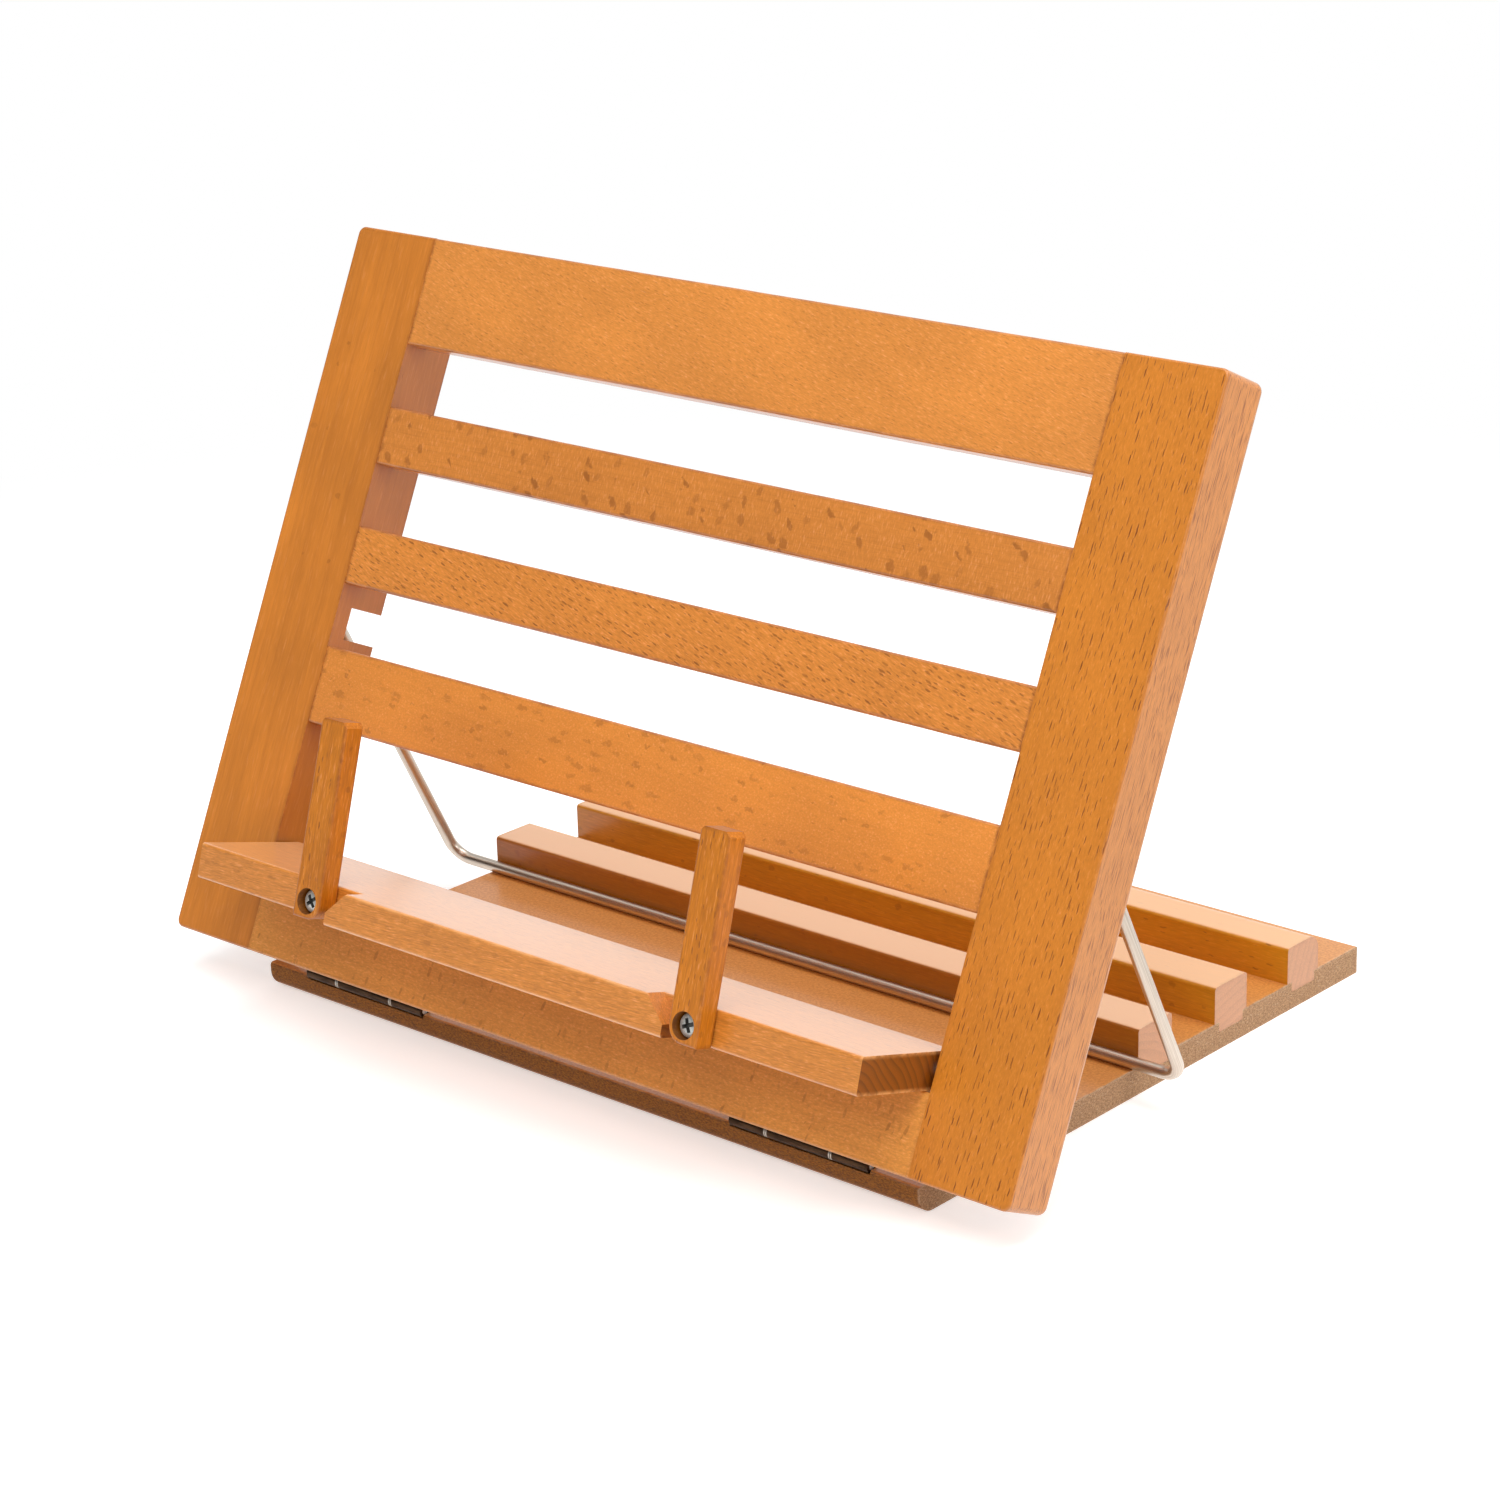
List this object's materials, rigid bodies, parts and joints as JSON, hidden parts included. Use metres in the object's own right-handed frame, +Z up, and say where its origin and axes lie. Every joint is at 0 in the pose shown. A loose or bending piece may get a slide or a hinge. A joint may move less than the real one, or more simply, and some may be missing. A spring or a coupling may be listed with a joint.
{
  "type": "reading stand",
  "caption": "Folding wooden reading stand: a slatted frame hinged to a base with stop battens, a tilting book ledge, page holders and a wire prop.",
  "frame": {"origin": "centre of the base board's underside, where it stands on the table", "axes": "+X to the reader's right along the rails, +Y from the reader towards the back, +Z up"},
  "size_m": [0.342, 0.257, 0.2289],
  "materials": {
    "varnished_beech": "satin",
    "bare_beech": "matte",
    "fibreboard": "satin",
    "hinge_steel": "satin",
    "screw_steel": "bright zinc",
    "wire_steel": "satin nickel"
  },
  "bodies": {
    "base": {"base_board": "fibreboard", "front_batten": "varnished_beech", "middle_batten": "varnished_beech", "rear_batten": "varnished_beech", "left_base_leaf": "hinge_steel", "right_base_leaf": "hinge_steel", "left_hinge_pin": "hinge_steel", "right_hinge_pin": "hinge_steel", "base_leaf_screws": "screw_steel"},
    "book_frame": {"left_stile": "varnished_beech", "right_stile": "varnished_beech", "bottom_rail": "varnished_beech", "lower_rail": "varnished_beech", "lower_slat": "varnished_beech", "upper_slat": "varnished_beech", "top_rail": "varnished_beech", "frame_dowels": "bare_beech", "left_frame_leaf": "hinge_steel", "right_frame_leaf": "hinge_steel", "frame_leaf_screws": "screw_steel"},
    "ledge": {"ledge": "varnished_beech", "left_ledge_pin": "screw_steel", "right_ledge_pin": "screw_steel", "holder_screws": "screw_steel"},
    "left_holder": {"left_page_holder": "varnished_beech"},
    "right_holder": {"right_page_holder": "varnished_beech"},
    "prop": {"wire_prop": "wire_steel"}
  },
  "joints": [
    {"name": "frame_tilt", "type": "hinge", "parent": "base", "child": "book_frame", "pos_m": [0, -0.1101, 0.0098], "axis": [1, 0, 0], "range_deg": [0, 55]},
    {"name": "prop_swing", "type": "hinge", "parent": "book_frame", "child": "prop", "pos_m": [0, -0.06027, 0.11146], "axis": [1, 0, 0], "range_deg": [-47, 127]},
    {"name": "ledge_fold", "type": "hinge", "parent": "book_frame", "child": "ledge", "pos_m": [0, -0.10186, 0.04144], "axis": [-1, 0, 0], "range_deg": [0, 35]},
    {"name": "left_holder_swing", "type": "hinge", "parent": "ledge", "child": "left_holder", "pos_m": [-0.077, -0.10186, 0.04144], "axis": [0, -0.9583, 0.2857], "range_deg": [-45, 90]},
    {"name": "right_holder_swing", "type": "hinge", "parent": "ledge", "child": "right_holder", "pos_m": [0.077, -0.10186, 0.04144], "axis": [0, 0.9583, -0.2857], "range_deg": [-45, 90]}
  ],
  "couplings": [
    {"joint": "prop_swing", "follows": "frame_tilt", "ratio": -0.85}
  ]
}
